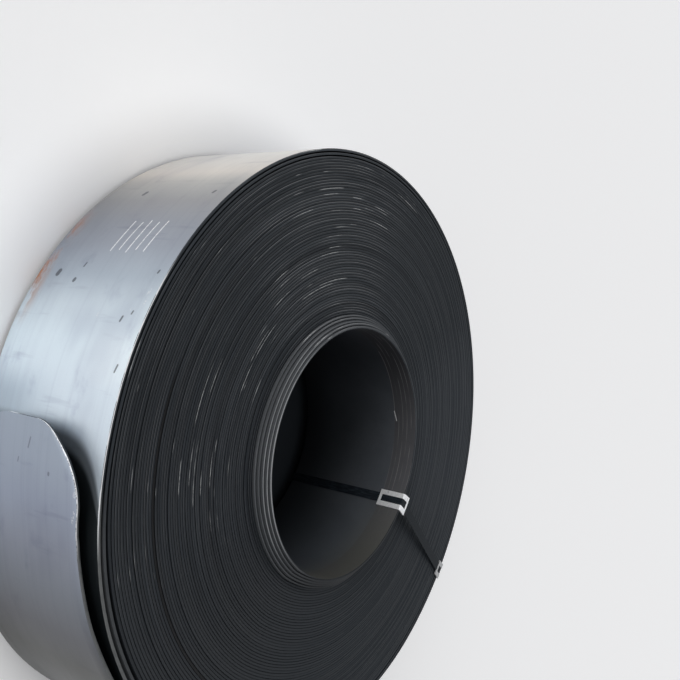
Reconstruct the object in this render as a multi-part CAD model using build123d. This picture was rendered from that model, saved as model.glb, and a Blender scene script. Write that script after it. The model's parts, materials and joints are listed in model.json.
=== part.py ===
from build123d import *
import os
from math import atan2, cos, degrees, radians, sin, sqrt

# A coil of hot-rolled steel strip that stands on its back end, with one flat steel strap
# through the eye and bent sheet guards where the strap goes round the front edges.
# Millimetres. The coil's axis is Z, and its front end is the upper one.
# The origin is on the axis, at the floor that the coil stands on.
# Angles go round the axis as seen from above: 0 is +X and 90 is +Y.

# The strip and its winding
strip_width = 467.0
strip_thickness = 8.0
bore_radius = 381.0
loose_turns = 5
loose_step = 7.2
tight_turns = 58
outer_turns = 2
outer_gap = 3.0
outer_gap_depth = 24.0

# Open lines between groups of tight turns, counted in turns from the first tight one
groove_turns = (13, 29, 46)
groove_width = 2.4
groove_depth = 5.0

# The free tail of the outermost turn, sprung off the coil on its -X side.
# It has slipped down a little, and its tip lies at a distance along Y.
tail_spring = 46.0
tail_root_angle = 262.0
tail_root_sink = 1.0
tail_tip_place = 250.0
tail_slip = 11.0
tail_end_length = 317.0
tail_end_round = 181.0

# The strap, and where it crosses the edge of the eye and the rim
strap_width = 32.0
strap_thickness = 1.0
strap_eye_angle = -38.9
strap_rim_angle = -43.5
strap_end = 17.0
lap_slope = 60.0
bend_step = 30.0
seat_gap = 0.3

# The edge guards: a bent plate under the strap, folded up and over its two sides.
# The cover's open middle shows the strap, and a bar crosses it at the end of each leg.
guard_width = 58.0
guard_thickness = 1.5
guard_side_leg = 88.0
guard_end_leg = 40.0
cover_thickness = 1.2
cover_lip = 4.0
cover_bar = 10.0

# The crimped seal that joins the strap's ends, on the coil's outer side
seal_length = 56.0
seal_thickness = 0.9
crimp_radius = 3.0
crimp_spacing = 24.0

# Sizes that follow
back = tail_slip
front = back + strip_width
middle = (front + back) / 2
loose_radius = bore_radius + loose_turns * strip_thickness
tight_radius = loose_radius + tight_turns * strip_thickness
outer_radius = tight_radius + outer_turns * (outer_gap + strip_thickness)
telescope = loose_turns * loose_step
rim_edge = (outer_radius, front)
eye_edge = (bore_radius, front + telescope)
bore_sag = bore_radius - sqrt(bore_radius**2 - (strap_width / 2) ** 2)
guard_top = seat_gap + guard_thickness
strap_low = guard_top + seat_gap + bore_sag
strap_middle = strap_low + strap_thickness / 2
bare_middle = seat_gap + bore_sag + strap_thickness / 2
cover_low = strap_low + strap_thickness + seat_gap
cover_top = cover_low + cover_thickness
lap_rise = strap_thickness + seat_gap


def radial(angle):
    return Vector(cos(radians(angle)), sin(radians(angle)), 0)


def around(angle):
    return Vector(-sin(radians(angle)), cos(radians(angle)), 0)


# The winding: a section of radius and height, turned about the coil's axis


def loose_edges(end):
    """The inner turns have slid up, each one a step further than the next."""
    points = []
    for turn in range(loose_turns):
        low = bore_radius + turn * strip_thickness
        height = end + (loose_turns - turn) * loose_step
        points += [(low, height), (low + strip_thickness, height)]
    return points


def tight_edges(end, inward):
    """The flat part of an end, with an open line between some of its turns."""
    points = [(loose_radius, end)]
    for turn in groove_turns:
        radius = loose_radius + turn * strip_thickness
        points += [
            (radius - groove_width / 2, end),
            (radius, end + inward * groove_depth),
            (radius + groove_width / 2, end),
        ]
    return points + [(tight_radius, end)]


def outer_edges(end, inward):
    """The last turns stand apart, with a deep gap below each one that closes inside."""
    points = []
    for turn in range(outer_turns):
        low = tight_radius + turn * (outer_gap + strip_thickness)
        points.append((low + outer_gap / 2, end + inward * outer_gap_depth))
        points += [(low + outer_gap, end), (low + outer_gap + strip_thickness, end)]
    return points


def end_edges(end, inward):
    return loose_edges(end) + tight_edges(end, inward) + outer_edges(end, inward)


def winding():
    outline = end_edges(front, -1) + end_edges(back, 1)[::-1]
    return revolve(Plane.XZ * make_face(Polyline(*outline, close=True)), Axis.Z, 360)


# The tail: an arc of larger radius than the coil, which leaves it on its -Y side


def tail_hoop():
    """The strip as a whole ring of the tail's own radius, which touches the coil at the root."""
    tail_radius = outer_radius + tail_spring
    centre = radial(tail_root_angle) * -(tail_spring + tail_root_sink)
    ring = Circle(tail_radius) - Circle(tail_radius - strip_thickness)
    return extrude(Pos(centre.X, centre.Y, back - tail_slip) * ring, strip_width)


def tail_outline():
    """The tail seen from its side, Y across and Z up: straight edges and an end like half an ellipse."""
    low = back - tail_slip
    high = front - tail_slip
    shoulder = tail_tip_place - tail_end_length
    foot = outer_radius * sin(radians(tail_root_angle))
    low_centre = (shoulder, low + tail_end_round)
    high_centre = (shoulder, high - tail_end_round)
    return Curve() + [
        Line((foot, low), (shoulder, low)),
        EllipticalCenterArc(low_centre, tail_end_length, tail_end_round, -90, arc_size=90),
        Line((tail_tip_place, low_centre[1]), (tail_tip_place, high_centre[1])),
        EllipticalCenterArc(high_centre, tail_end_length, tail_end_round, 0, arc_size=90),
        Line((shoulder, high), (foot, high)),
        Line((foot, high), (foot, low)),
    ]


def tail():
    root_x = outer_radius * cos(radians(tail_root_angle))
    side = Plane(origin=(root_x, 0, 0), x_dir=(0, 1, 0), z_dir=(1, 0, 0))
    keep = extrude(side * make_face(tail_outline()), -(outer_radius + 3 * tail_spring))
    return tail_hoop() & keep


def coil():
    return winding() + tail()


# The strap: cross-sections along a taut line round the coil's section, joined up


def tight_line():
    """Corners of the taut line round the section, as (radius, height), from the rim's front."""
    return [
        rim_edge,
        (bore_radius + strip_thickness, front + telescope),
        eye_edge,
        (bore_radius, back + telescope),
        (loose_radius, back),
        (outer_radius, back),
    ]


def tilt_of(start, end):
    """The direction that faces away from the coil on a run, as an angle up from radially outward."""
    return degrees(atan2(start[0] - end[0], end[1] - start[1]))


def strap_stations():
    """Places (radius, height), tilts and rises along the strap, from its under end to its upper end.
    It lies on the guards at the front edges and on the bare strip at the back ones."""
    corners = tight_line()
    lap = seal_length / 2 + strap_end
    stations = [((outer_radius, middle - lap), 0, strap_middle)]
    tilt = 0
    for index, corner in enumerate(corners):
        rise = strap_middle if corner[1] > middle else bare_middle
        after = corners[(index + 1) % len(corners)]
        turn = (tilt_of(corner, after) - tilt + 180) % 360 - 180
        steps = max(1, round(abs(turn) / bend_step))
        for step in range(steps + 1):
            stations.append((corner, tilt + turn * step / steps, rise))
        tilt += turn
        if corner == eye_edge:
            stations.append(((bore_radius, corner[1] - guard_side_leg), tilt, strap_middle))
    climb = middle - lap - strap_thickness
    stations.append(((outer_radius, middle - lap - lap_slope), tilt, strap_middle))
    stations.append(((outer_radius, climb), tilt, strap_middle + lap_rise))
    stations.append(((outer_radius, middle + lap), tilt, strap_middle + lap_rise))
    return stations


def cross_section(place, tilt, rise, width, thickness):
    """The strap's rectangle at a rise above the taut line. It moves from the eye's angle to the rim's."""
    share = (place[0] - bore_radius) / (outer_radius - bore_radius)
    angle = strap_eye_angle + share * (strap_rim_angle - strap_eye_angle)
    at_eye = radial(strap_eye_angle) * bore_radius
    at_rim = radial(strap_rim_angle) * outer_radius
    outward = radial(angle) * cos(radians(tilt)) + Vector(0, 0, 1) * sin(radians(tilt))
    centre = at_eye + (at_rim - at_eye) * share + Vector(0, 0, place[1]) + outward * rise
    across = around(angle)
    return Plane(centre, x_dir=across, z_dir=across.cross(outward)) * Rectangle(width, thickness)


def strap_run(clearance):
    """The strap's solid, or with a clearance the channel that it runs through."""
    width = strap_width + 2 * clearance
    thickness = strap_thickness + 2 * clearance
    sections = [cross_section(*each, width, thickness) for each in strap_stations()]
    return loft(sections, ruled=True)


def seal_frame():
    """The middle of the seal, between the strap's two layers: X across the strap and Z along it."""
    rise = strap_low + (lap_rise + strap_thickness) / 2
    centre = radial(strap_rim_angle) * (outer_radius + rise) + Vector(0, 0, middle)
    return Plane(centre, x_dir=around(strap_rim_angle), z_dir=(0, 0, 1))


def crimps():
    """Notches pressed into both sides of the seal and the strap inside it."""
    height = 4 * (lap_rise + strap_thickness)
    side = strap_width / 2 + seat_gap + seal_thickness
    notch = extrude(RegularPolygon(crimp_radius, 4), height / 2, both=True)
    places = [(x, z) for x in (-side, side) for z in (-crimp_spacing / 2, crimp_spacing / 2)]
    return [seal_frame() * Pos(x, 0, z) * Rot(90, 0, 0) * notch for x, z in places]


def strap():
    return strap_run(0) - crimps()


def strap_seal():
    inner_width = strap_width + 2 * seat_gap
    inner_height = lap_rise + strap_thickness + 2 * seat_gap
    hollow = Rectangle(inner_width, inner_height)
    shell = Rectangle(inner_width + 2 * seal_thickness, inner_height + 2 * seal_thickness)
    sleeve = seal_frame() * extrude(shell - hollow, seal_length / 2, both=True)
    return sleeve - crimps()


# The edge guards: bent sheets that follow the coil's curve


def bent_line(rise):
    """The area inside the taut line moved out by a rise, with a flat facet at both front edges."""
    line = make_face(Polyline(*tight_line(), close=True))
    area = offset(line, rise, kind=Kind.INTERSECTION)
    tips = [
        Vector(eye_edge[0] - rise, eye_edge[1] + rise),
        Vector(rim_edge[0] + rise, rim_edge[1] + rise),
    ]
    bends = [area.vertices().sort_by_distance(tip)[0] for tip in tips]
    facet_cut = (2 - sqrt(2)) * rise
    return chamfer(bends, facet_cut)


def band(low, high):
    """The section of a sheet between two rises outside the taut line."""
    return bent_line(high) - bent_line(low)


def window(radii, heights):
    """A rectangle in the section, to keep one stretch of a band."""
    size = (abs(radii[1] - radii[0]), abs(heights[1] - heights[0]))
    centre = (sum(radii) / 2, sum(heights) / 2)
    return Pos(*centre) * Rectangle(*size)


def edge_guard(corner, out_radius, strap_angle):
    """A guard on one front edge. out_radius is the sign that points away from the coil there."""
    radius, height = corner
    over = 2 * cover_top

    def legs(low, high, width, shift=0, shorter=0):
        """Both legs between two rises, for a width along the edge. They can be shorter at their ends."""
        radii = (radius - out_radius * (guard_end_leg - shorter), radius + out_radius * over)
        heights = (height - guard_side_leg + shorter, height + over)
        stretch = Plane.XZ * (band(low, high) & window(radii, heights))
        spread = degrees(width / radius)
        start = strap_angle + degrees(shift / radius) - spread / 2
        return Rot(0, 0, start) * revolve(stretch, Axis.Z, spread)

    opening = legs(guard_top, over, strap_width - 2 * cover_lip, shorter=cover_bar)
    guard = legs(seat_gap, guard_top, guard_width) + (legs(cover_low, cover_top, guard_width) - opening)
    for side in (-1, 1):
        shift = side * (guard_width - cover_thickness) / 2
        guard += legs(guard_top, cover_low, cover_thickness, shift)
    return guard - strap_run(seat_gap)


def guards():
    return {
        "eye_guard": edge_guard(eye_edge, -1, strap_eye_angle),
        "rim_guard": edge_guard(rim_edge, 1, strap_rim_angle),
    }


def build_all():
    return {"coil": coil(), "strap": strap(), "strap_seal": strap_seal(), **guards()}


os.makedirs("parts", exist_ok=True)
for name, solid in build_all().items():
    solid.label = name
    export_step(solid, f"parts/{name}.step")
    print(name, "is whole:", solid.is_valid and len(solid.solids()) == 1)
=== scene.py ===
import json
import math

import bmesh
import bpy
import numpy as np
from mathutils import Matrix, Vector


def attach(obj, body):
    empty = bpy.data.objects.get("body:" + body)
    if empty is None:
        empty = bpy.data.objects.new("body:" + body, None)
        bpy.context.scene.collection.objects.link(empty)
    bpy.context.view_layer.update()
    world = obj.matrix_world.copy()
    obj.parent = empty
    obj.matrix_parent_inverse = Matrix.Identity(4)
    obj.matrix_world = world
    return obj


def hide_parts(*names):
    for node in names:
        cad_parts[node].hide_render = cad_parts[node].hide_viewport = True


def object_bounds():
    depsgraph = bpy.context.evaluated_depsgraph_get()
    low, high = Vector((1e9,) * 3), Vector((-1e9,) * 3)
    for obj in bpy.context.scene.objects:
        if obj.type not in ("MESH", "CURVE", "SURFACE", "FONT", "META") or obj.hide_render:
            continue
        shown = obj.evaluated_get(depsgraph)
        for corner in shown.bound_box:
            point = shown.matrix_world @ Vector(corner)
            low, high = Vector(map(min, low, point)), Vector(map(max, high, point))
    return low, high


# A steel coil that stands on its back end. The axis is Z, the front end is the upper one,
# and angles go round the axis as seen from above: 0 is +X and 90 is +Y.
# Lengths are metres, and mm turns millimetres into them.
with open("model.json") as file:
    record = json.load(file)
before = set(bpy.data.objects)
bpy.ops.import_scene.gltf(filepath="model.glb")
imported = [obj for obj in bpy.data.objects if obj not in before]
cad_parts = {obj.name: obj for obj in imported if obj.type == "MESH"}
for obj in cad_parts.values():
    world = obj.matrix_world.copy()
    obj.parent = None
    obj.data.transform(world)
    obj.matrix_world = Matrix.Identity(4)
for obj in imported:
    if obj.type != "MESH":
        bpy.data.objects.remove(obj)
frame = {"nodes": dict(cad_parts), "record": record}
cad_box = [list(corner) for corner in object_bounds()]
mm = 0.001

# The winding. The sizes are the solids' own, apart from two that are a hair less,
# so that the mesh stays inside the solids' box: the outer gap and the tail's spring.
mounts = {mount["name"]: mount for mount in frame["record"]["mounts"]}
bore_radius = mounts["eye"]["dims"]["r_mm"] * mm
strip_width = mounts["eye"]["dims"]["length_mm"] * mm
tail_slip = 11 * mm
strip_thickness = 8 * mm
loose_turns = 5
loose_step = 7.2 * mm
tight_turns = 58
outer_turns = 2
outer_gap = 2.87 * mm
back = tail_slip
front = back + strip_width
turns = loose_turns + tight_turns + outer_turns
outer_radius = bore_radius + turns * strip_thickness + outer_turns * outer_gap

# The free tail
root_angle = math.radians(262)
tail_spring = 45.8 * mm
tail_tip = 250 * mm
tail_end_length = 317 * mm
tail_end_round = 181 * mm

# The tail's front edge is torn: how many mm it lies inside the plain rounded end, by angle in degrees
torn_edge = (
    (163, 0), (167, -3), (169, -12), (171, -16), (173, -14), (175, -6), (177, 7), (179, 16),
    (182, 20.5), (185, 16.5), (188, 10.5), (191, 6), (195, 2.5), (200, 0),
)

# On the tail's side the winding stands out a little, and the gaps below its last two turns open
winding_bulge = 7 * mm
gap_opening = 4 * mm

# The radius at which the bulge begins, and the angles in degrees at which it starts, is full,
# starts to end and has ended. On the tail the start comes later and the full height earlier.
bulge_radius = 0.7
bulge_angles = (160, 196, 205, 230)
tail_starts_later = 19
tail_full_earlier = 3

# How finely the strip is drawn, and where its drawn-out first end begins
columns = 180
head = 4
width_rows = 14
tail_columns = 96
weld_distance = 0.01 * mm
sharp_angle = math.radians(62)

# A point within this share of a turn's start counts as on that turn
turn_slack = 1e-9

# Uneven edges: how far turns lie below the ends, and the open lines between them
edge_round = 0.9 * mm
uneven_edge = 1.5 * mm
groove_depth = 2.6 * mm
groove_half_width = 0.45 * mm
outer_groove_depth = 22 * mm
slip_start = math.radians(325)
surface_wave = 0.5 * mm
tail_burr = 1.0 * mm

# How often the random unevenness changes along a turn, and how much its low values prevail
knots_per_turn = 2.3
spare_knots = 4
uneven_power = 1.5


def turn_radius(turn):
    """The inner radius of a turn where it runs level, before the next one lifts off."""
    extra = np.clip(turn - (loose_turns + tight_turns - 1), 0, outer_turns) * outer_gap
    return bore_radius + turn * strip_thickness + extra


def spring_out(part):
    """How far the tail's own larger arc has left the winding at an angle past its root."""
    arc_radius = outer_radius + tail_spring
    reach = np.sqrt(arc_radius**2 - (tail_spring * np.sin(part)) ** 2)
    return reach - tail_spring * np.cos(part) - outer_radius


def lift(part):
    """Between two turns the strip climbs along the same arc. 0 is before and 1 is after it."""
    return np.where(part > math.pi, 1, np.minimum(1, spring_out(part) / strip_thickness))


def turn_and_part(angle):
    """The number of the turn at an angle counted along the strip, and the angle since its start."""
    turn = np.floor(angle / math.tau + turn_slack)
    return turn, angle - turn * math.tau


def strip_radius(angle):
    """The strip's inner radius at an angle counted along it from the first turn's start."""
    turn, part = turn_and_part(angle)
    below = turn_radius(np.maximum(turn - 1, 0))
    return below + (turn_radius(turn) - below) * lift(part)


def thickness_at(angle):
    """The strip's thickness. Its first end is drawn out thin, so that the eye is a smooth ring."""
    return np.minimum(strip_thickness, strip_radius(angle + math.tau) - strip_radius(angle))


def smooth(value, low, high):
    """0 below low and 1 above high, with a smooth rise between them."""
    share = np.clip((value - low) / (high - low), 0, 1)
    return share * share * (3 - 2 * share)


def level_rise(angle):
    """How far the loose turns have slid up, and the last one down towards the tail."""
    turn, part = turn_and_part(angle)
    steps = np.clip(loose_turns - turn, 0, loose_turns)
    steps_below = np.clip(loose_turns - turn + 1, 0, loose_turns)
    rise = loose_step * (steps_below + (steps - steps_below) * lift(part))
    last = turn >= turns - 1
    return rise - tail_slip * np.where(last, smooth(part, slip_start, math.tau), 0)


def uneven(angle, seed, amount):
    """A smooth random unevenness that runs along the strip, from 0 to amount."""
    place = angle / math.tau * knots_per_turn
    table = np.random.default_rng(seed).random(int(turns * knots_per_turn) + spare_knots)
    first = np.floor(place).astype(int)
    share = smooth(place - first, 0, 1)
    return amount * (table[first] * (1 - share) + table[first + 1] * share) ** uneven_power


def bulge(round_axis, radius):
    """How far the winding stands out on the tail's side, which grows towards the outer turns.

    The tail itself follows it, but starts to do so further from its tip.
    """
    degrees = np.degrees(round_axis) % 360
    on_tail = smooth(radius, outer_radius + 5 * mm, outer_radius + 12 * mm)
    start, full, fading, end = bulge_angles
    rise = smooth(degrees, start + tail_starts_later * on_tail, full - tail_full_earlier * on_tail)
    side = rise * (1 - smooth(degrees, fading, end))
    out = winding_bulge * np.clip((radius - bulge_radius) / (outer_radius - bulge_radius), 0, 1) ** 2
    for turn in (turns - 2, turns - 1):
        inner = turn_radius(turn)
        out = out + gap_opening * smooth(radius, inner - outer_gap, inner - groove_half_width)
    return side * out


def at(angle, radius, height):
    """Points at an angle counted along the strip, which runs clockwise from the tail's root."""
    round_axis = root_angle - angle
    radius = radius + bulge(round_axis, radius)
    return np.stack([radius * np.cos(round_axis), radius * np.sin(round_axis), height], axis=-1)


class Sheet:
    """Collects grids of points and their faces for one mesh."""

    def __init__(self):
        self.points, self.strip, self.place, self.faces, self.slots = [], [], [], [], []
        self.count = 0

    def add_points(self, angle, radius, height, across):
        """Adds a grid and returns its point numbers. The strip's own coordinates ride with it."""
        points = at(angle, radius, height)
        shape = points.shape[:-1]
        turn = np.broadcast_to(angle / math.tau, shape)
        along = bore_radius * turn * math.tau + strip_thickness * math.pi * turn**2
        self.points.append(points.reshape(-1, 3))
        strip = np.stack([along, np.broadcast_to(across, shape), turn], axis=-1)
        self.strip.append(strip.reshape(-1, 3))
        unrolled = (root_angle - np.broadcast_to(angle, shape) + math.tau * (turns - 1)) * outer_radius
        layer = np.broadcast_to(np.floor(turn - turns + turn_slack), shape)
        place = np.stack([unrolled, front - np.broadcast_to(height, shape), layer], axis=-1)
        self.place.append(place.reshape(-1, 3))
        numbers = np.arange(self.count, self.count + points[..., 0].size).reshape(shape)
        self.count += numbers.size
        return numbers

    def add_faces(self, rows, slot, flip=False):
        """Joins each row of point numbers to the next one with four-sided faces."""
        for low, high in zip(rows[:-1], rows[1:]):
            quads = np.stack([low[:-1], low[1:], high[1:], high[:-1]], axis=-1)
            self.faces.append(quads[:, ::-1] if flip else quads)
            self.slots.append(np.full(len(quads), slot))

    def build(self, name, materials):
        """Makes the mesh, with its points welded, and puts it in the scene."""
        mesh = bpy.data.meshes.new(name)
        points, faces = np.concatenate(self.points), np.concatenate(self.faces)
        mesh.from_pydata(points.tolist(), [], faces.tolist())
        for label, values in (("strip", self.strip), ("place", self.place)):
            layer = mesh.attributes.new(label, "FLOAT_VECTOR", "POINT")
            layer.data.foreach_set("vector", np.concatenate(values).astype(np.float32).ravel())
        for material in materials:
            mesh.materials.append(material)
        mesh.polygons.foreach_set("material_index", np.concatenate(self.slots).astype(np.int32))
        weld = bmesh.new()
        weld.from_mesh(mesh)
        bmesh.ops.remove_doubles(weld, verts=weld.verts, dist=weld_distance)
        weld.to_mesh(mesh)
        weld.free()
        mesh.validate()
        mesh.shade_smooth()
        mesh.set_sharp_from_angle(angle=sharp_angle)
        piece = bpy.data.objects.new(name, mesh)
        bpy.context.scene.collection.objects.link(piece)
        return piece


# The mesh's material slots
WRAP, EDGE, BORE, BURR = 0, 1, 2, 3

# The coordinate across the strip is 0 on a turn's inner side, 1 on its outer side and this in a groove
in_groove = -20.0


def end_of_coil(sheet, outward, step, last):
    """One end of the winding: each turn's rounded edge and the open line to the next one.

    outward is 1 for the upper end and -1 for the lower one. Returns the edge's outermost
    row on the last turn and its innermost row in the bore.
    """
    level = front if outward > 0 else back
    angle = np.arange(head, last + 1) * step
    radius = strip_radius(angle)
    thick = thickness_at(angle)
    rounding = edge_round * thick / strip_thickness
    height = level + level_rise(angle) - outward * uneven(angle, 11 + outward, uneven_edge)
    inner = sheet.add_points(angle, radius + rounding, height, 0.0)
    outer = sheet.add_points(angle, radius + thick - rounding, height, 1.0)
    sheet.add_faces([inner, outer], EDGE, flip=outward > 0)

    grooved = angle[columns:]
    turn, _ = turn_and_part(grooved)
    lower = outward * np.minimum(outward * height[columns:], outward * height[:-columns])
    depth = groove_depth * (0.5 + uneven(grooved, 21 + outward, 1.0))
    depth = np.where(turn > loose_turns + tight_turns - 1, outer_groove_depth, depth)
    groove_radius = radius[columns:] - groove_half_width
    groove = sheet.add_points(grooved, groove_radius, lower - outward * depth, in_groove)
    sheet.add_faces([groove, inner[columns:]], EDGE, flip=outward > 0)
    loose = loose_turns * columns - head if outward > 0 else 0
    sheet.add_faces([outer[loose:-columns], groove[loose:]], EDGE, flip=outward > 0)
    if loose:
        low = slice(0, loose + 1)
        wall = sheet.add_points(angle[low], radius[low] + thick[low], height[low] - edge_round, 1.0)
        sheet.add_faces([outer[low], wall], EDGE, flip=True)
        sheet.add_faces([wall, groove[low]], WRAP, flip=True)

    ring = slice(-columns - 1, None)
    rounded = height[ring] - outward * edge_round
    rim = sheet.add_points(angle[ring], radius[ring] + strip_thickness, rounded, 1.0)
    sheet.add_faces([outer[ring], rim], EDGE, flip=outward > 0)
    ring = slice(0, columns + 1)
    mouth = sheet.add_points(angle[ring], radius[ring], height[ring] - outward * rounding[ring], 0.0)
    sheet.add_faces([mouth, inner[ring]], EDGE, flip=outward > 0)
    return rim, mouth


def broad_side(sheet, angle, radius, top, bottom, slot, flip):
    """A strip's broad side between its two edges, a little uneven."""
    rows = []
    for row in range(width_rows + 1):
        share = row / width_rows
        height = top + (bottom - top) * share
        ripple = np.sin(7 * angle + 3 * share) * np.sin(5 * share + 2 * angle)
        wave = surface_wave * (0.5 + 0.5 * ripple) * math.sin(math.pi * share)
        offset = wave if slot == BORE else -wave
        rows.append(sheet.add_points(angle, radius + offset, height, share))
    sheet.add_faces(rows, slot, flip)
    return rows


def tail_reach(angle):
    """The tail's inner radius, past the end of the last turn."""
    return turn_radius(turns - 1) + spring_out(angle - turns * math.tau)


def tail_angles():
    """Columns of the tail, closer together where its end is rounded, and their narrowing."""
    centre = Vector((math.cos(root_angle), math.sin(root_angle))) * -tail_spring
    radius = outer_radius + tail_spring

    def angle_at(y):
        inside = (y - centre.y) / radius
        x = centre.x - radius * math.sqrt(1 - inside * inside)
        return root_angle - (math.atan2(y, x) % math.tau) + turns * math.tau

    shoulder = tail_tip - tail_end_length
    straight = np.linspace(turns * math.tau, angle_at(shoulder), tail_columns // 2)
    curve = np.linspace(0, math.pi / 2, tail_columns // 2)[1:]
    rounded = [angle_at(shoulder + tail_end_length * math.sin(part)) for part in curve]
    narrowing = np.concatenate([np.zeros(len(straight)), tail_end_round * (1 - np.cos(curve))])
    return np.concatenate([straight, rounded]), narrowing


def tail_of_coil(sheet):
    """The free end: both broad sides, its edges all round, and its rounded tip."""
    angle, narrowing = tail_angles()
    radius = tail_reach(angle)
    torn = np.interp(np.degrees(root_angle - angle) % 360, *zip(*torn_edge)) * mm
    top = front - tail_slip - narrowing - torn
    bottom = back - tail_slip + narrowing
    loop = []

    def add_side(offset, first_share, last_share):
        for share in np.linspace(first_share, last_share, width_rows + 1):
            height = top - tail_burr + (bottom - top + 2 * tail_burr) * share
            loop.append(sheet.add_points(angle, radius + offset, height, share))

    def add_edge(level, corners):
        for outer in corners:
            offset = strip_thickness - edge_round if outer else edge_round
            loop.append(sheet.add_points(angle, radius + offset, level, float(outer)))

    add_side(strip_thickness, 0, 1)
    outside = len(loop)
    add_edge(bottom, (1, 0))
    add_side(0, 1, 0)
    add_edge(top, (0, 1))
    loop.append(loop[0])
    inside = outside + 2
    sheet.add_faces(loop[:outside], WRAP, flip=False)
    sheet.add_faces(loop[outside - 1:outside + 1], BURR, flip=False)
    sheet.add_faces(loop[outside:inside + 1], EDGE, flip=False)
    sheet.add_faces(loop[inside:inside + outside], WRAP, flip=False)
    sheet.add_faces(loop[inside + outside - 1:-1], EDGE, flip=False)
    sheet.add_faces(loop[-2:], BURR, flip=False)
    outer_tip = np.array([row[-1] for row in loop[:outside]])
    inner_tip = np.array([row[-1] for row in loop[inside:inside + outside]])[::-1]
    sheet.add_faces([outer_tip, inner_tip], EDGE, flip=True)


def build_coil(materials):
    """The whole strip as one mesh: both ends of the winding, its outer side, the bore and the tail."""
    step = math.tau / columns
    last = turns * columns
    sheet = Sheet()
    rims, mouths = [], []
    for outward in (1, -1):
        rim, mouth = end_of_coil(sheet, outward, step, last)
        rims.append(rim)
        mouths.append(mouth)
    points = np.concatenate(sheet.points)
    rim_angle = np.arange(last - columns, last + 1) * step
    wrap_radius = strip_radius(rim_angle) + strip_thickness
    top, bottom = (points[row, 2] for row in rims)
    broad_side(sheet, rim_angle, wrap_radius, top, bottom, WRAP, flip=False)
    mouth_angle = np.arange(head, head + columns + 1) * step
    top, bottom = (points[row, 2] for row in mouths)
    rows = broad_side(sheet, mouth_angle, strip_radius(mouth_angle), top, bottom, BORE, flip=True)
    head_face = [np.array([row[0] for row in rows]), np.array([row[-1] for row in rows])]
    sheet.add_faces(head_face, EDGE, flip=False)
    tail_of_coil(sheet)
    return sheet.build("coil_strip", materials)


# Materials: small helpers for the shader nodes


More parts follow.
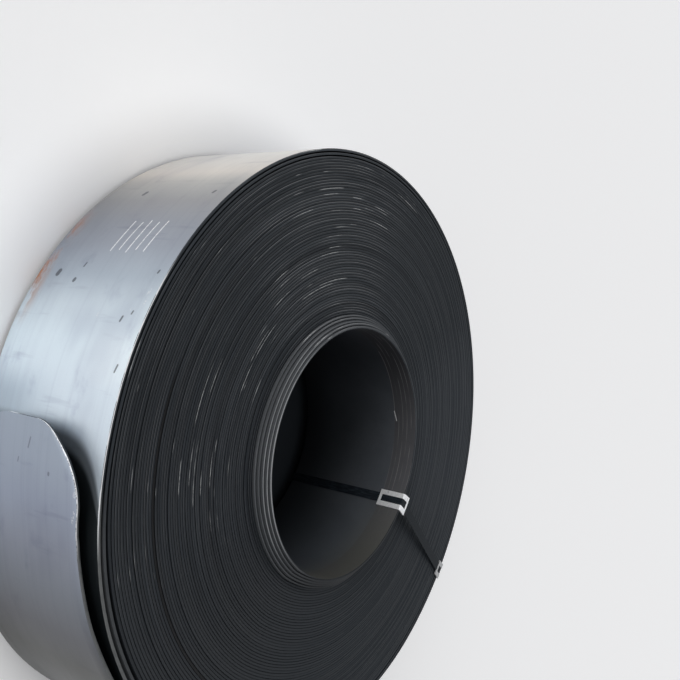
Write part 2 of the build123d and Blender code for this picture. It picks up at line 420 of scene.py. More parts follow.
class Shader:
    """A material and short ways to add nodes to it. Numbers or sockets go in, sockets come out."""

    def __init__(self, name):
        self.material = bpy.data.materials.new(name)
        self.material.use_nodes = True
        self.nodes = self.material.node_tree.nodes
        self.links = self.material.node_tree.links
        self.surface = self.nodes["Principled BSDF"]

    def feed(self, socket, value):
        if isinstance(value, bpy.types.NodeSocket):
            self.links.new(value, socket)
        elif isinstance(value, tuple) and len(value) == 3 and socket.type == "RGBA":
            socket.default_value = (*value, 1)
        else:
            socket.default_value = value

    def math(self, operation, *values, clamp=False):
        node = self.nodes.new("ShaderNodeMath")
        node.operation = operation
        node.use_clamp = clamp
        for socket, value in zip(node.inputs, values):
            self.feed(socket, value)
        return node.outputs[0]

    def vector(self, operation, *values):
        node = self.nodes.new("ShaderNodeVectorMath")
        node.operation = operation
        for socket, value in zip(node.inputs, values):
            self.feed(socket, value)
        return node.outputs["Value" if operation in ("LENGTH", "DISTANCE", "DOT_PRODUCT") else "Vector"]

    def attribute(self, name):
        node = self.nodes.new("ShaderNodeAttribute")
        node.attribute_name = name
        return node.outputs["Vector"]

    def object_place(self):
        return self.nodes.new("ShaderNodeTexCoord").outputs["Object"]

    def split(self, vector):
        node = self.nodes.new("ShaderNodeSeparateXYZ")
        self.feed(node.inputs[0], vector)
        return node.outputs[0], node.outputs[1], node.outputs[2]

    def join(self, x, y, z):
        node = self.nodes.new("ShaderNodeCombineXYZ")
        for socket, value in zip(node.inputs, (x, y, z)):
            self.feed(socket, value)
        return node.outputs[0]

    def scaled(self, vector, x, y, z):
        return self.vector("MULTIPLY", vector, (x, y, z))

    def noise(self, vector, scale=1.0, detail=2.0, roughness=0.5):
        node = self.nodes.new("ShaderNodeTexNoise")
        self.feed(node.inputs["Vector"], vector)
        node.inputs["Scale"].default_value = scale
        node.inputs["Detail"].default_value = detail
        node.inputs["Roughness"].default_value = roughness
        return node.outputs["Fac"]

    def range(self, value, low, high, to_low=0.0, to_high=1.0):
        node = self.nodes.new("ShaderNodeMapRange")
        node.interpolation_type = "SMOOTHSTEP"
        for name, number in (("Value", value), ("From Min", low), ("From Max", high),
                             ("To Min", to_low), ("To Max", to_high)):
            self.feed(node.inputs[name], number)
        return node.outputs[0]

    def mix(self, share, first, second):
        node = self.nodes.new("ShaderNodeMix")
        node.data_type = "RGBA"
        self.feed(node.inputs["Factor"], share)
        self.feed(node.inputs[6], first)
        self.feed(node.inputs[7], second)
        return node.outputs[2]

    def ramp(self, value, stops):
        node = self.nodes.new("ShaderNodeValToRGB")
        self.feed(node.inputs[0], value)
        while len(node.color_ramp.elements) < len(stops):
            node.color_ramp.elements.new(0.5)
        for element, (place, colour) in zip(node.color_ramp.elements, stops):
            element.position = place
            element.color = (*colour, 1)
        return node.outputs[0]

    def bump(self, height, distance, strength=1.0, normal=None):
        node = self.nodes.new("ShaderNodeBump")
        node.inputs["Strength"].default_value = strength
        node.inputs["Distance"].default_value = distance
        self.feed(node.inputs["Height"], height)
        if normal is not None:
            self.feed(node.inputs["Normal"], normal)
        return node.outputs[0]

    def set(self, **values):
        for name, value in values.items():
            self.feed(self.surface.inputs[name.replace("_", " ")], value)

    def inverse(self, value):
        return self.math("SUBTRACT", 1.0, value)

    def product(self, first, *others):
        for other in others:
            first = self.math("MULTIPLY", first, other)
        return first

    def most(self, first, *others):
        for other in others:
            first = self.math("MAXIMUM", first, other)
        return first

    def most_of(self, values):
        """The largest of many values, each made and compared in turn, so that few are held at once."""
        largest = None
        for value in values:
            largest = value if largest is None else self.math("MAXIMUM", largest, value)
        return largest

    def tinted(self, share, tone, factors):
        """The tone, with its three parts multiplied by the factors where share is 1."""
        return self.mix(share, tone, self.scaled(tone, *factors))

    def facing(self, angle):
        """1 on the side of the axis at an angle in degrees, falling to -1 on the opposite side."""
        towards = (math.cos(math.radians(angle)), math.sin(math.radians(angle)), 0.0)
        flat = self.vector("NORMALIZE", self.scaled(self.object_place(), 1.0, 1.0, 0.0))
        return self.vector("DOT_PRODUCT", flat, towards)

    def near_path(self, place, points, half_width, blur):
        """1 near a path of points in a plane, which runs straight from each one to the next."""
        parts = zip(points[:-1], points[1:])
        return self.most_of(
            self.near_segment(place, start, end, half_width, blur) for start, end in parts
        )

    def near_segment(self, place, start, end, half_width, blur):
        """1 within half_width of a line from start to end in a plane, fading over blur."""
        start, end = Vector((*start, 0)), Vector((*end, 0))
        run = end - start
        from_start = self.vector("SUBTRACT", place, tuple(start))
        share = self.math(
            "DIVIDE", self.vector("DOT_PRODUCT", from_start, tuple(run)), run.length_squared, clamp=True
        )
        scale_node = self.nodes.new("ShaderNodeVectorMath")
        scale_node.operation = "SCALE"
        scale_node.inputs[0].default_value = tuple(run)
        self.feed(scale_node.inputs["Scale"], share)
        distance = self.vector("DISTANCE", from_start, scale_node.outputs[0])
        return self.range(distance, half_width, half_width + blur, 1.0, 0.0)


def wrap_point(angle, depth):
    """A place on the unrolled outer side, from an angle in degrees and a depth from the front in mm."""
    return (math.radians(angle) * outer_radius, depth * mm)


# Marks on the outer side as the photograph shows them. Each is an angle in degrees, a depth below
# the front, and its length and width in mm. The dark spots are scale, and the pale ones scuffs.
dark_spots = (
    (142.2, 389, 24, 15), (143.4, 312, 14, 11), (122.9, 318, 22, 12), (122.8, 65, 16, 9),
    (140.5, 305, 15, 5), (141.0, 33, 12, 6), (149.1, 77, 17, 6), (156.4, 34, 20, 5), (148.0, 50, 11, 5),
)
pale_scuffs = ((144.5, 28, 16, 6), (148.8, 162, 10, 6), (147.5, 60, 8, 4), (146.0, 24, 20, 4))
tail_spots = ((171.9, 130, 9, 7), (168.5, 207, 26, 4), (171.1, 244, 12, 3), (166.0, 424, 9, 9))
tail_scuffs = ((173.4, 36, 20, 8), (176.6, 42, 26, 6))

# Plain chalk strokes side by side, in place of the photo's handwriting and unlike it in form.
# Each has its start, its pull and its end, as (angle, depth).
chalk_sweeps = (
    ((137.2, 246), (134.0, 240), (130.6, 238)),
    ((136.9, 216), (133.6, 212), (130.9, 207)),
    ((137.4, 187), (134.2, 181), (130.4, 180)),
    ((136.8, 157), (133.5, 152), (130.8, 149)),
    ((137.1, 127), (133.9, 123), (130.5, 119)),
)
chalk_half_width = 0.7 * mm
chalk_blur = 1.7 * mm

# Each stroke is drawn in this many straight parts. With 7 the material is too big for the
# renderer, which then draws the whole outer side black.
sweep_parts = 5


def sweep_points(start, pull, end):
    """A smooth sweep from start to end, bent towards the pull."""
    start, pull, end = (Vector(wrap_point(*each)) for each in (start, pull, end))
    shares = [part / sweep_parts for part in range(sweep_parts + 1)]
    return [start * (1 - s) ** 2 + pull * 2 * s * (1 - s) + end * s * s for s in shares]


def all_marks(shader, place, marks, blur, turned_back=0.0):
    """Where any of the marks is. turned_back moves them back along the strip, in degrees."""

    def each_mark():
        for angle, depth, length, width in marks:
            x, y = wrap_point(angle - turned_back, depth)
            half = max(length - width, 0) * mm / 2
            ends = ((x - half, y - half / 4), (x + half, y + half / 4))
            yield shader.near_segment(place, *ends, (width / 2 - blur / 2) * mm, blur * mm)

    return shader.most_of(each_mark())


# The scale's broad tones round the coil and round the tail, each at an angle in degrees.
# They are partly its own colour and partly painted light: the lighter bands round the coil
# are a painted sheen, and the tail darkens towards its lower part in painted shade.
tones_and_painted_sheen_round = (
    (-98, (0.30, 0.31, 0.33)), (-20, (0.34, 0.36, 0.39)), (80, (0.46, 0.47, 0.49)),
    (101, (0.68, 0.67, 0.64)), (109, (0.69, 0.665, 0.63)), (115, (0.65, 0.61, 0.565)),
    (119, (0.45, 0.445, 0.43)),
    (125, (0.32, 0.322, 0.335)), (131, (0.300, 0.320, 0.362)), (136, (0.34, 0.37, 0.425)),
    (142, (0.435, 0.495, 0.56)), (147, (0.645, 0.725, 0.785)), (153, (0.77, 0.865, 0.925)),
    (160, (0.745, 0.83, 0.90)), (166, (0.70, 0.78, 0.85)),
)
tail_tones_and_painted_shade = (
    (162, (0.365, 0.415, 0.485)), (170, (0.350, 0.395, 0.470)), (176, (0.305, 0.340, 0.420)),
    (182, (0.250, 0.272, 0.328)), (188, (0.186, 0.203, 0.235)), (195, (0.116, 0.120, 0.135)),
    (202, (0.085, 0.087, 0.084)), (225, (0.11, 0.113, 0.118)), (262, (0.30, 0.31, 0.33)),
)


def tones_at(shader, degrees, tones):
    """The tone at an angle, which runs evenly from each one in the list to the next."""
    low, high = tones[0][0], tones[-1][0]
    share = shader.math("DIVIDE", shader.math("SUBTRACT", degrees, low), high - low, clamp=True)
    return shader.ramp(share, [((angle - low) / (high - low), tone) for angle, tone in tones])


def broad_tones(shader, unrolled, depth, on_tail):
    """Lighter and darker stretches round the wrap, partly painted sheen, the painted shadow behind the
    tail, and the tail's own tones with their painted shade.
    """
    degrees = shader.math("MULTIPLY", unrolled, math.degrees(1 / outer_radius))
    wrap = tones_at(shader, degrees, tones_and_painted_sheen_round)
    # Painted shade beside the tail's tip, away from the front.
    by_tip = shader.product(
        shader.range(degrees, 156.5, 162.5),
        shader.range(depth, 170 * mm, 380 * mm),
    )
    wrap = shader.tinted(by_tip, wrap, (0.70, 0.73, 0.76))
    # Painted sheen, stronger near the front between 148 and 160 degrees.
    by_front = shader.product(
        shader.range(degrees, 148, 154),
        shader.range(degrees, 160.5, 156.5),
        shader.range(depth, 200 * mm, 60 * mm),
    )
    wrap = shader.tinted(by_front, wrap, (1.10, 1.08, 1.06))
    # Painted shadow behind the tail: past its tip the wrap darkens in two steps, further round near the
    # front.
    near_front = shader.math("EXPONENT", shader.math("DIVIDE", depth, -50 * mm))
    past_shade = shader.math("SUBTRACT", degrees, shader.math("MULTIPLY", near_front, 9.5))
    half_shade = shader.math("MULTIPLY", shader.range(past_shade, 164.4, 166.5), 0.76)
    full_shade = shader.math("MULTIPLY", shader.range(past_shade, 167.1, 168.6), 0.24)
    wrap = shader.mix(shader.math("ADD", half_shade, full_shade), wrap, (0.020, 0.025, 0.028))
    tail = tones_at(shader, shader.math("ADD", degrees, 360.0), tail_tones_and_painted_shade)
    return shader.mix(on_tail, wrap, tail)


def wrap_material():
    """Satin blue-grey mill scale with clouds, roll lines, spots, scuffs, chalk and some rust, on broad
    tones of painted sheen and painted shade.
    """
    shader = Shader("mill_scale_and_painted_light")
    _, _, turn = shader.split(shader.attribute("strip"))
    place = shader.attribute("place")
    unrolled, depth, layer = shader.split(place)
    flat = shader.join(unrolled, depth, 0.0)
    on_tail = shader.range(layer, -0.5, -0.4)
    on_wrap = shader.inverse(on_tail)

    clouds = shader.noise(shader.scaled(place, 1.0, 1.8, 5.0), 2.4, 3.0, 0.55)
    roll_lines = shader.noise(shader.scaled(place, 0.5, 60.0, 9.0), 1.0, 4.0, 0.6)
    grain = shader.noise(place, 420.0, 3.0, 0.6)
    blotches = shader.noise(shader.scaled(place, 1.0, 1.3, 7.0), 9.0, 4.0, 0.6)
    drips = shader.noise(shader.scaled(place, 26.0, 3.0, 5.0), 1.0, 3.0, 0.6)

    tone = broad_tones(shader, unrolled, depth, on_tail)
    tone = shader.tinted(shader.range(clouds, 0.50, 0.72), tone, (1.07, 1.07, 1.06))
    tone = shader.tinted(shader.range(clouds, 0.50, 0.28), tone, (0.84, 0.84, 0.87))
    tone = shader.tinted(shader.range(roll_lines, 0.46, 0.70), tone, (0.95, 0.95, 0.96))
    tone = shader.tinted(shader.range(blotches, 0.56, 0.76), tone, (0.84, 0.84, 0.88))
    tone = shader.tinted(shader.range(drips, 0.60, 0.72), tone, (0.88, 0.88, 0.90))
    tone = shader.tinted(shader.range(grain, 0.58, 0.72), tone, (0.90, 0.90, 0.91))
    # Painted shade: the step walls of the loose turns are near black, and dull.
    step_walls_painted_shade = shader.range(turn, loose_turns + 0.5, loose_turns + 1.5, 1.0, 0.0)
    tone = shader.mix(step_walls_painted_shade, tone, (0.030, 0.033, 0.037))

    shift = shader.scaled(shader.join(blotches, grain, 0.0), 7 * mm, 3 * mm, 0.0)
    wobble = shader.vector("ADD", flat, shift)
    spots = shader.product(all_marks(shader, wobble, dark_spots, 3.5), on_wrap)
    tail_marks = shader.product(all_marks(shader, wobble, tail_spots, 3.0, turned_back=360), on_tail)
    tone = shader.mix(shader.product(spots, 0.80), tone, (0.075, 0.082, 0.10))
    tone = shader.mix(shader.product(tail_marks, 0.6), tone, (0.09, 0.095, 0.12))

    scuff_grain = shader.range(shader.noise(place, 160.0, 3.0, 0.7), 0.45, 0.6)
    tail_rubs = shader.product(all_marks(shader, wobble, tail_scuffs, 4.0, turned_back=360), on_tail)
    scuffs = shader.product(all_marks(shader, wobble, pale_scuffs, 5.0), on_wrap)
    scuffs = shader.product(shader.most(scuffs, tail_rubs), scuff_grain)
    tone = shader.mix(shader.product(scuffs, 0.8), tone, (0.86, 0.86, 0.86))

    sweeps = shader.most_of(
        shader.near_path(flat, sweep_points(*sweep), chalk_half_width, chalk_blur)
        for sweep in chalk_sweeps
    )
    chalk_grain = shader.range(shader.noise(place, 240.0, 2.0, 0.7), 0.34, 0.54, 0.3, 1.0)
    chalk = shader.product(sweeps, chalk_grain, on_wrap)
    tone = shader.mix(shader.product(chalk, 0.9), tone, (0.93, 0.93, 0.94))

    rust_clouds = shader.noise(shader.scaled(place, 1.0, 2.0, 3.0), 9.0, 5.0, 0.65)
    rust = shader.product(
        shader.range(depth, 405 * mm, 460 * mm),
        shader.range(rust_clouds, 0.42, 0.60),
        shader.range(unrolled, wrap_point(126, 0)[0], wrap_point(134, 0)[0]),
        shader.range(unrolled, wrap_point(153, 0)[0], wrap_point(145, 0)[0]),
        on_wrap,
    )
    tone = shader.mix(shader.product(rust, 0.9), tone, (0.30, 0.125, 0.055))

    dull = shader.most(rust, chalk, scuffs, step_walls_painted_shade)
    shader.set(
        Base_Color=tone,
        Metallic=shader.math("SUBTRACT", 0.80, shader.product(dull, 0.75), clamp=True),
        Roughness=shader.math(
            "ADD", shader.range(clouds, 0.3, 0.7, 0.36, 0.46), shader.product(dull, 0.3)
        ),
    )
    shader.set(Normal=shader.bump(grain, 0.12 * mm, 0.5, shader.bump(roll_lines, 0.25 * mm, 0.4)))
    return shader.material


# Where part of one turn's edge lies open, it is painted near black as the painted shadow of the
# opening:
# its start and its end, in turns along the strip
open_line = (loose_turns + 42.04, loose_turns + 42.31)


def edge_material():
    """The strip's slit edges: near black scale, different on each turn, with burrs, painted glints,
    highlights and shade.
    """
    shader = Shader("strip_edges")
    along, across, turn = shader.split(shader.attribute("strip"))
    lengthwise = shader.join(along, shader.math("MULTIPLY", shader.math("FLOOR", turn), 7.31), 0.0)
    per_turn = shader.noise(shader.scaled(lengthwise, 0.9, 1.0, 1.0), 1.0, 2.0, 0.6)
    fine = shader.noise(shader.scaled(shader.attribute("strip"), 30.0, 0.6, 160.0), 1.0, 3.0, 0.7)
    darker = (0.0135, 0.0165, 0.0210)
    middling = (0.0230, 0.0275, 0.0335)
    lighter = (0.036, 0.042, 0.050)
    tone = shader.ramp(per_turn, ((0.30, darker), (0.50, middling), (0.70, lighter)))
    # Painted light by side: the turns differ only towards the upper left, where they catch light;
    # elsewhere they are plain, lighter on the right as a painted highlight, middling on the lower left.
    upper_left = shader.range(shader.facing(122), -0.25, 0.95)
    right_highlight_side = shader.range(shader.facing(-8), 0.80, 0.99)
    plain = shader.mix(right_highlight_side, (0.0155, 0.0195, 0.0245), (0.027, 0.032, 0.039))
    plain = shader.mix(shader.range(shader.facing(195), 0.5, 0.95), plain, (0.0205, 0.0235, 0.0275))
    tone = shader.mix(shader.range(upper_left, 0.0, 0.75, 0.85, 0.0), tone, plain)
    # Painted glints: fine light flecks, more of them towards the upper left.
    fine_share = shader.range(upper_left, 0.1, 0.7, 0.14, 0.25)
    painted_fine_glints = shader.product(shader.range(fine, 0.5, 0.75), fine_share)
    tone = shader.mix(painted_fine_glints, tone, (0.06, 0.066, 0.073))
    # Painted light: the edges are lighter towards the top.
    tone = shader.tinted(shader.range(shader.facing(104), 0.88, 1.0), tone, (1.35, 1.33, 1.28))

    # The burrs on each turn's outer corner, lit with painted glints on the top and upper-left sides.
    burr = shader.range(across, 0.64, 0.84)
    burr_noise = shader.noise(shader.scaled(lengthwise, 2.6, 1.0, 1.0), 1.0, 3.0, 0.6)
    burr_glint_side = shader.most(
        shader.range(shader.facing(98), 0.78, 0.98, 0.04, 0.75),
        shader.range(shader.facing(150), 0.6, 0.95, 0.0, 0.32),
    )
    painted_burr_glint = shader.product(burr, shader.range(burr_noise, 0.38, 0.64), burr_glint_side)
    tone = shader.mix(painted_burr_glint, tone, (0.25, 0.255, 0.265))
    # Painted glints: thin bright streaks along the turns, in clusters, towards the upper left and top.
    # The edges are a little smoother there.
    glint_noise = shader.noise(shader.scaled(lengthwise, 5.5, 1.0, 1.0), 1.0, 2.0, 0.5)
    more_glints = shader.range(shader.facing(108), 0.93, 0.99, 0.0, 0.12)
    glint_clusters = shader.math("ADD", shader.noise(shader.object_place(), 6.0, 2.0, 0.5), more_glints)
    painted_glints = shader.product(
        shader.range(across, 0.66, 0.80),
        shader.range(glint_noise, 0.60, 0.66),
        shader.range(glint_clusters, 0.47, 0.60),
        shader.range(upper_left, 0.35, 0.85),
        shader.range(fine, 0.36, 0.56, 0.35, 1.0),
    )
    tone = shader.mix(shader.product(painted_glints, 0.8), tone, (0.60, 0.61, 0.61))

    # The loose turns' edges: painted shade on their lower side, painted light on their ridges on the
    # left, and a brighter painted highlight on the first three turns.
    loose = shader.range(turn, loose_turns - 0.1, loose_turns + 0.1, 1.0, 0.0)
    left_side = shader.range(shader.facing(150), -0.3, 0.8, 0.05, 1.0)
    ridge = shader.product(shader.range(across, 0.15, 0.40), shader.range(across, 1.0, 0.85))
    low_side = shader.range(shader.facing(-85), 0.2, 0.8)
    tone = shader.tinted(shader.product(loose, low_side), tone, (0.55, 0.55, 0.55))
    tone = shader.mix(shader.product(loose, left_side, ridge), tone, (0.132, 0.138, 0.147))
    first_ones = shader.product(
        shader.range(turn, 2.9, 3.0, 1.0, 0.0),
        shader.range(shader.facing(165), 0.55, 0.97),
    )
    painted_ridge_highlight = shader.product(first_ones, ridge, shader.range(burr_noise, 0.30, 0.55, 0.35, 1.0))
    tone = shader.mix(shader.product(painted_ridge_highlight, 0.9), tone, (0.42, 0.43, 0.44))

    # Painted shade: the open lines between the turns are near black, most of all towards the upper
    # left.
    in_gap = shader.product(
        shader.range(across, -0.1, -2.0),
        shader.range(upper_left, 0.0, 0.6, 0.3, 0.8),
    )
    tone = shader.mix(in_gap, tone, (0.003, 0.003, 0.004))
    painted_gap_shadow = shader.product(
        shader.range(turn, open_line[0], open_line[0] + 0.02),
        shader.range(turn, open_line[1], open_line[1] - 0.02),
    )
    tone = shader.mix(shader.product(painted_gap_shadow, 0.9), tone, (0.006, 0.006, 0.007))

    # Painted highlight: the edges of the outer two turns are lighter on the lower left.
    rim_highlight_side = shader.range(shader.facing(215), 0.72, 0.84)
    outermost = shader.range(turn, turns - 1.01, turns - 0.99)
    next_one = shader.product(shader.range(turn, turns - 2.01, turns - 1.99), shader.inverse(outermost))
    rim_highlight = shader.product(rim_highlight_side, shader.range(fine, 0.30, 0.60, 0.7, 1.0))
    tone = shader.mix(shader.product(outermost, rim_highlight), tone, (0.15, 0.155, 0.155))
    tone = shader.mix(shader.product(next_one, rim_highlight, 0.6), tone, (0.10, 0.105, 0.11))
    # Painted highlight: the outermost turn's outer corner is near white beside the tail's tip.
    by_tip = shader.range(shader.facing(160), 0.920, 0.965)
    corner = shader.product(outermost, shader.range(across, 0.60, 0.80), by_tip)
    tone = shader.mix(shader.product(corner, 0.95), tone, (0.90, 0.91, 0.92))
    shader.set(
        Base_Color=tone,
        Metallic=0.3,
        Roughness=shader.math("SUBTRACT", 0.58, shader.product(painted_glints, 0.2)),
        Specular_IOR_Level=0.20,
    )
    shader.set(Normal=shader.bump(fine, 0.2 * mm, 0.6))
    return shader.material


def burr_material():
    """The sheared corner of the free end: dark, with a painted highlight of bright steel with dark
    nicks.
    """
    shader = Shader("sheared_corner")
    nicks = shader.noise(shader.object_place(), 130.0, 3.0, 0.7)
    bright = shader.mix(shader.range(nicks, 0.42, 0.62), (0.78, 0.79, 0.80), (0.12, 0.12, 0.13))
    # Painted highlight: the corner is bright only where it faces about 167 degrees.
    tone = shader.mix(shader.range(shader.facing(167), 0.962, 0.985), (0.095, 0.10, 0.105), bright)
    shader.set(Base_Color=tone, Metallic=0.5, Roughness=0.4)
    return shader.material


def bore_material():
    """The first turn's inner side: dark scale, with painted shade deep in and on the upper side,
    painted light near the mouth, painted highlights on step lines and two lighter wall lines.
    """
    shader = Shader("bore_scale_and_painted_light")
    place = shader.object_place()
    x, y, height = shader.split(place)
    depth = shader.math("SUBTRACT", front, height)
    wall = shader.join(shader.math("MULTIPLY", shader.math("ARCTAN2", y, x), bore_radius), depth, 0.0)
    clouds = shader.noise(place, 3.0, 4.0, 0.6)
    grain = shader.noise(place, 300.0, 3.0, 0.6)
    darker, middling, lighter = (0.060, 0.067, 0.078), (0.085, 0.093, 0.105), (0.100, 0.104, 0.108)
    tone = shader.ramp(clouds, ((0.3, darker), (0.6, middling), (0.8, lighter)))
    # Painted shade: darker deeper into the bore, and near black at the back on the upper right.
    tone = shader.mix(shader.range(depth, 60 * mm, 420 * mm, 0.0, 0.75), tone, (0.018, 0.021, 0.025))
    rear = shader.product(
        shader.range(depth, 300 * mm, 460 * mm),
        shader.range(shader.facing(50), -0.3, 0.6),
    )
    tone = shader.mix(shader.product(rear, 0.75), tone, (0.004, 0.005, 0.007))
    mouth = shader.range(depth, 46 * mm, 50 * mm, 1.0, 0.0)
    tone = shader.mix(shader.product(mouth, 0.7), tone, (0.070, 0.067, 0.070))
    # Painted shade on the upper side.
    tone = shader.tinted(shader.range(shader.facing(75), 0.45, 0.95), tone, (0.40, 0.40, 0.42))
    # On the low side: painted shade deeper in, and painted light near the mouth.
    by_mouth = shader.range(depth, 150 * mm, -20 * mm)
    low_side = shader.range(shader.facing(-95), 0.35, 1.0)
    tone = shader.tinted(shader.product(low_side, shader.inverse(by_mouth)), tone, (0.78, 0.80, 0.82))
    tone = shader.mix(shader.product(low_side, by_mouth, 0.7), tone, (0.066, 0.066, 0.055))
    # Painted highlights on step lines near the mouth, on the right side.
    step_share = shader.math("FRACT", shader.math("DIVIDE", depth, 16.5 * mm))
    step_line = shader.product(
        shader.range(step_share, 0.80, 0.90),
        shader.range(step_share, 1.0, 0.96),
    )
    step_noise = shader.noise(shader.scaled(wall, 7.0, 60.0, 0.0), 1.0, 2.0, 0.5)
    steps = shader.product(
        mouth,
        step_line,
        shader.range(step_noise, 0.40, 0.60),
        shader.range(shader.facing(25), 0.2, 0.7),
    )
    tone = shader.mix(shader.product(steps, 0.75), tone, (0.20, 0.20, 0.205))

    def wall_line(first_angle, last_angle, first_depth, last_depth, half_width):
        """1 near a line on the bore's wall, from angles in degrees and depths and a width in mm."""
        ends = [
            (math.radians(angle) * bore_radius, deep * mm)
            for angle, deep in ((first_angle, first_depth), (last_angle, last_depth))
        ]
        return shader.near_segment(wall, *ends, half_width * mm, 1.2 * mm)

    tone = shader.mix(shader.product(wall_line(5, 46, 48, 47, 0.6), 0.55), tone, (0.22, 0.21, 0.21))
    tone = shader.mix(shader.product(wall_line(2.5, 7.5, 41, 49, 0.9), 0.9), tone, (0.75, 0.75, 0.76))
    tone = shader.mix(shader.range(grain, 0.55, 0.7, 0.0, 0.3), tone, (0.03, 0.03, 0.035))
    shader.set(Base_Color=tone, Metallic=0.3, Roughness=0.55, Specular_IOR_Level=0.3)
    shader.set(Normal=shader.bump(grain, 0.15 * mm, 0.5))
    return shader.material


def strap_material():
    """Dark blued strap steel with fine drawn lines and patches of wear."""
    shader = Shader("blued_strap")
    place = shader.object_place()
    fine = shader.noise(shader.scaled(place, 900.0, 900.0, 30.0), 1.0, 2.0, 0.6)
    wear = shader.noise(place, 60.0, 4.0, 0.65)
    tone = shader.mix(shader.range(fine, 0.45, 0.68), (0.006, 0.008, 0.011), (0.026, 0.034, 0.043))
    tone = shader.mix(shader.range(wear, 0.66, 0.76, 0.0, 0.4), tone, (0.07, 0.08, 0.09))
    shader.set(Base_Color=tone, Metallic=0.1, Roughness=0.55, Specular_IOR_Level=0.06)
    shader.set(Normal=shader.bump(fine, 0.08 * mm, 0.5))
    return shader.material


def zinc_material(name, shade, shine):
    """Galvanised or plain bright sheet with faint spangle and some dirt."""
    shader = Shader(name)
    place = shader.object_place()
    spangle_node = shader.nodes.new("ShaderNodeTexVoronoi")
    shader.feed(spangle_node.inputs["Vector"], place)
    spangle_node.inputs["Scale"].default_value = 170.0
    spangle = shader.split(spangle_node.outputs["Color"])[0]
    dirt = shader.noise(place, 90.0, 4.0, 0.65)
    light = tuple(shade * part for part in (1.0, 1.0, 1.01))
    dark = tuple(shade * part for part in (0.88, 0.89, 0.91))
    tone = shader.mix(spangle, dark, light)
    tone = shader.mix(shader.range(dirt, 0.58, 0.74, 0.0, 0.5), tone, (0.24, 0.24, 0.25))
    shader.set(Base_Color=tone, Metallic=shine, Roughness=shader.range(dirt, 0.3, 0.7, 0.28, 0.42))
    shader.set(Normal=shader.bump(dirt, 0.2 * mm, 0.5))
    return shader.material


def dress(node, material):
    """Gives a CAD node its finished material."""
    piece = frame["nodes"][node]
    for slot in piece.material_slots:
        slot.material = material


# The stage, the light and the camera
floor_size = 60.0
floor_gap = 0.2 * mm
floor_glow = 0.42
sky_light = 0.3


def pale_material():
    """A pale floor, near black in the eye as painted shade. Away from the coil the camera and
    reflections see it lighter, and that glow fades towards the coil as a painted shadow.
    """
    shader = Shader("pale_floor")
    x, y, _ = shader.split(shader.object_place())
    from_axis = shader.vector("LENGTH", shader.join(x, y, 0.0))
    # Painted shadow: the glow fades out towards the coil.
    open_floor = shader.range(from_axis, outer_radius * 0.9, outer_radius * 1.25)
    path = shader.nodes.new("ShaderNodeLightPath")
    seen = shader.most(path.outputs["Is Camera Ray"], path.outputs["Is Glossy Ray"])
    # Painted shade: the floor is near black inside the eye and under the coil.
    in_eye = shader.range(from_axis, outer_radius * 0.7, outer_radius * 0.8, 1.0, 0.0)
    shader.set(Base_Color=shader.mix(in_eye, (0.82, 0.82, 0.83), (0.018, 0.023, 0.030)), Roughness=0.9)
    glow = shader.product(open_floor, seen, floor_glow)
    shader.set(Emission_Color=(1.0, 1.0, 1.0), Emission_Strength=glow)
    return shader.material


def make_floor():
    level = cad_box[0][2] - floor_gap
    bpy.ops.mesh.primitive_plane_add(size=floor_size, location=(0, 0, level))
    floor = bpy.context.object
    floor.name = "floor"
    floor.data.materials.append(pale_material())


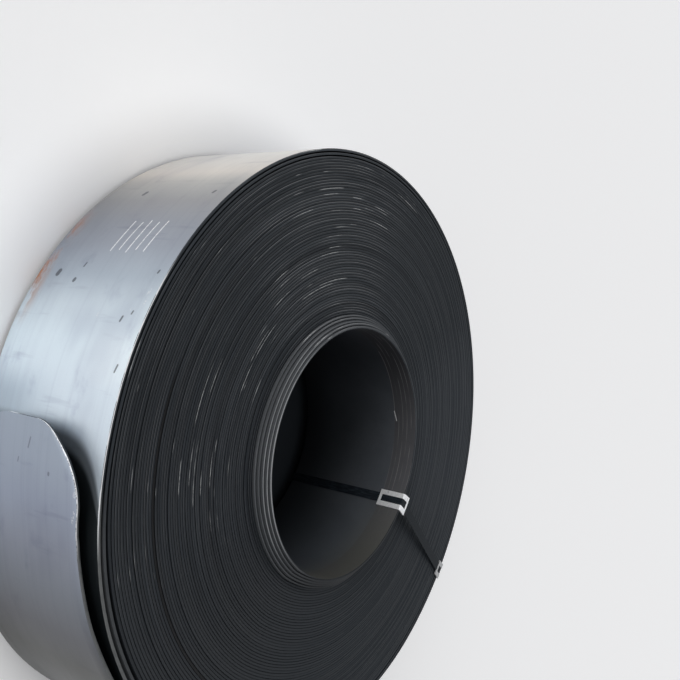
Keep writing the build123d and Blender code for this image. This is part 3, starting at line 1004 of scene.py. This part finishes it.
def make_world():
    """Even pale light. The camera and reflections see a pale tone, near to the floor's."""
    world = bpy.data.worlds.new("studio")
    world.use_nodes = True
    bpy.context.scene.world = world
    nodes, links = world.node_tree.nodes, world.node_tree.links
    plain = nodes["Background"]
    plain.inputs["Color"].default_value = (0.97, 0.98, 1.0, 1)
    plain.inputs["Strength"].default_value = sky_light
    seen = nodes.new("ShaderNodeBackground")
    seen.inputs["Color"].default_value = (0.86, 0.87, 0.88, 1)
    path = nodes.new("ShaderNodeLightPath")
    either = nodes.new("ShaderNodeMath")
    either.operation = "MAXIMUM"
    links.new(path.outputs["Is Camera Ray"], either.inputs[0])
    links.new(path.outputs["Is Glossy Ray"], either.inputs[1])
    mix = nodes.new("ShaderNodeMixShader")
    links.new(either.outputs[0], mix.inputs[0])
    links.new(plain.outputs[0], mix.inputs[1])
    links.new(seen.outputs[0], mix.inputs[2])
    links.new(mix.outputs[0], nodes["World Output"].inputs["Surface"])


def make_sun(name, towards, strength, softness):
    """A soft distant light. towards points from the coil to where it comes from."""
    light = bpy.data.lights.new(name, "SUN")
    light.energy = strength
    light.angle = math.radians(softness)
    lamp = bpy.data.objects.new(name, light)
    lamp.rotation_mode = "QUATERNION"
    lamp.rotation_quaternion = Vector(towards).to_track_quat("Z", "Y")
    bpy.context.scene.collection.objects.link(lamp)


def make_camera():
    """The photograph's view. The coil lies on its rim there, so the camera is turned with it."""
    place_lying = Vector((-1.9385, -1.5828, 0.6702))
    heading, pitch, roll = 54.79, 7.849, 0.724
    turn = (
        Matrix.Rotation(math.radians(-heading), 4, "Z")
        @ Matrix.Rotation(math.radians(90 - pitch), 4, "X")
        @ Matrix.Rotation(math.radians(roll), 4, "Z")
    )
    mid_height = Matrix.Translation((0, 0, (front + back) / 2))
    stand_up = mid_height @ Matrix.Rotation(math.radians(-90), 4, "X")
    lens = bpy.data.cameras.new("camera")
    lens.sensor_width = 36
    lens.lens = 41.82
    lens.clip_start, lens.clip_end = 0.05, 100
    camera = bpy.data.objects.new("camera", lens)
    camera.matrix_world = stand_up @ Matrix.Translation(place_lying) @ turn
    bpy.context.scene.collection.objects.link(camera)
    bpy.context.scene.camera = camera


coil = build_coil([wrap_material(), edge_material(), bore_material(), burr_material()])
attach(coil, "root")
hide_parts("coil")
dress("strap", strap_material())
dress("strap_seal", zinc_material("plain_seal", 0.5, 0.5))
dress("eye_guard", zinc_material("bright_zinc", 0.99, 0.6))
dress("rim_guard", zinc_material("dull_zinc", 0.5, 0.4))

make_floor()
make_world()
make_sun("key", (-0.47, 0.87, 0.12), 2.4, 50)
make_sun("side", (-0.97, 0.15, 0.10), 0.8, 50)
make_camera()
bpy.context.scene.view_settings.view_transform = "Standard"
